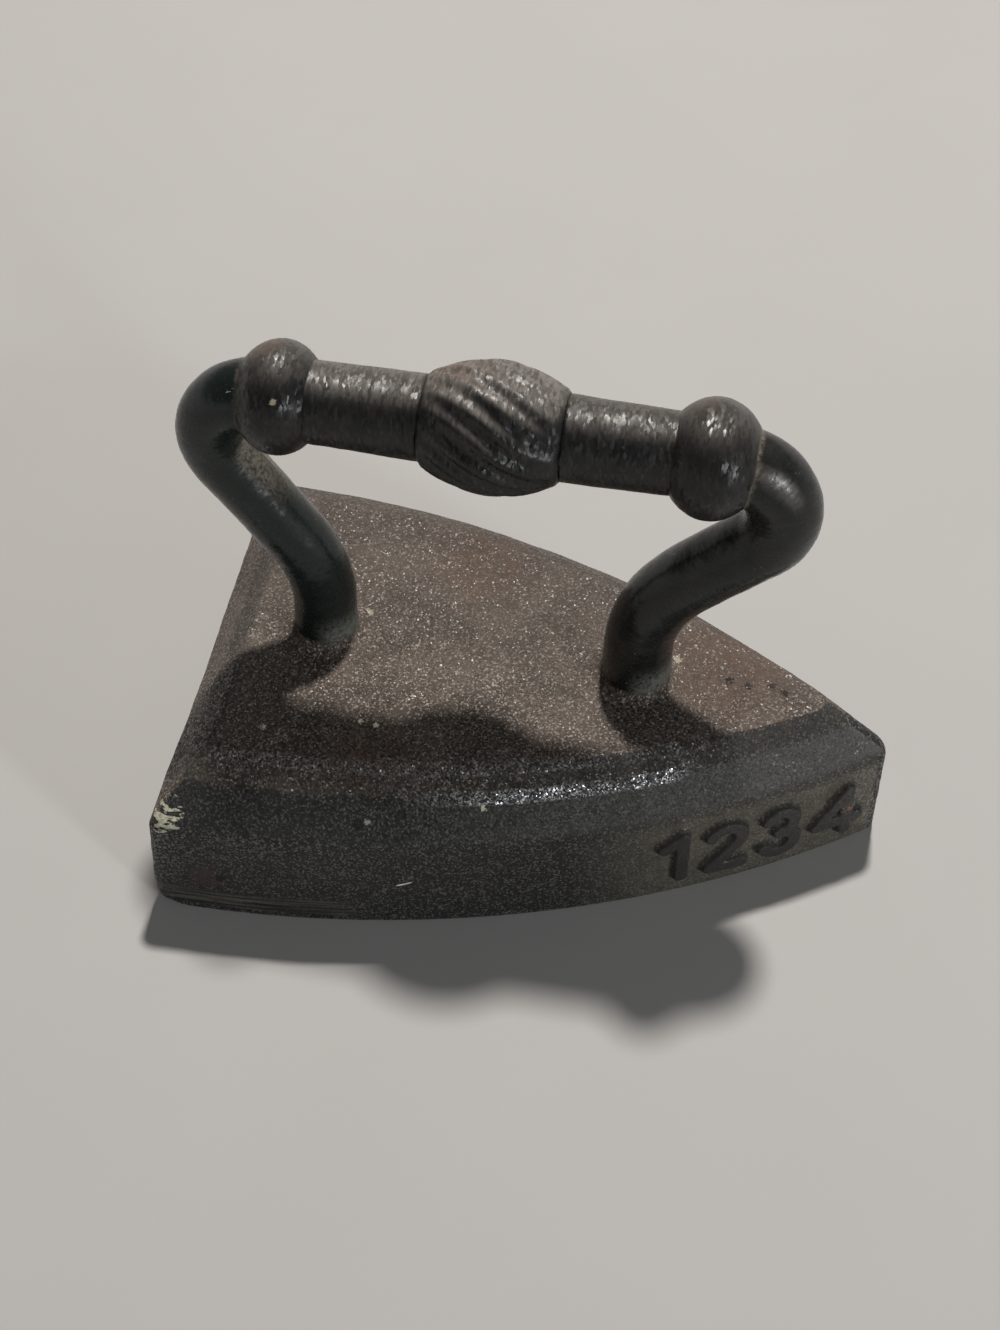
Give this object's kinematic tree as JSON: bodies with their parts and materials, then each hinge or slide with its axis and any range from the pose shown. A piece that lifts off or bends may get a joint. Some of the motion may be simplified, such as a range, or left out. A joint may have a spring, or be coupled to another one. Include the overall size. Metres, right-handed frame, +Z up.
{
  "type": "miniature flat iron",
  "caption": "Small cast iron flat iron with a pointed toe, bevelled top and a bow handle on swan-neck posts, its grip a row of beads with a twisted knop; pretend-play toy or paperweight.",
  "frame": {"origin": "centre of the sole's bounding rectangle, on the sole", "axes": "+X towards the toe, +Y to the left seen from the heel, +Z up through the handle"},
  "size_m": [0.09, 0.0606, 0.0712],
  "materials": {
    "rusty_iron": "sandy cast surface, brown rust on top, charcoal sides, worn edges",
    "black_iron": "satin black patina with fine cross marks and worn highlights",
    "plain_steel": "dull, lightly tarnished"
  },
  "bodies": {
    "root": {"iron_body": "rusty_iron", "rear_post": "black_iron", "front_post": "black_iron", "rear_grip_ball": "black_iron", "front_grip_ball": "black_iron", "rear_grip_sleeve": "black_iron", "front_grip_sleeve": "black_iron", "twisted_knop": "black_iron", "grip_rod": "plain_steel", "rear_post_screw": "plain_steel", "front_post_screw": "plain_steel"}
  },
  "joints": []
}
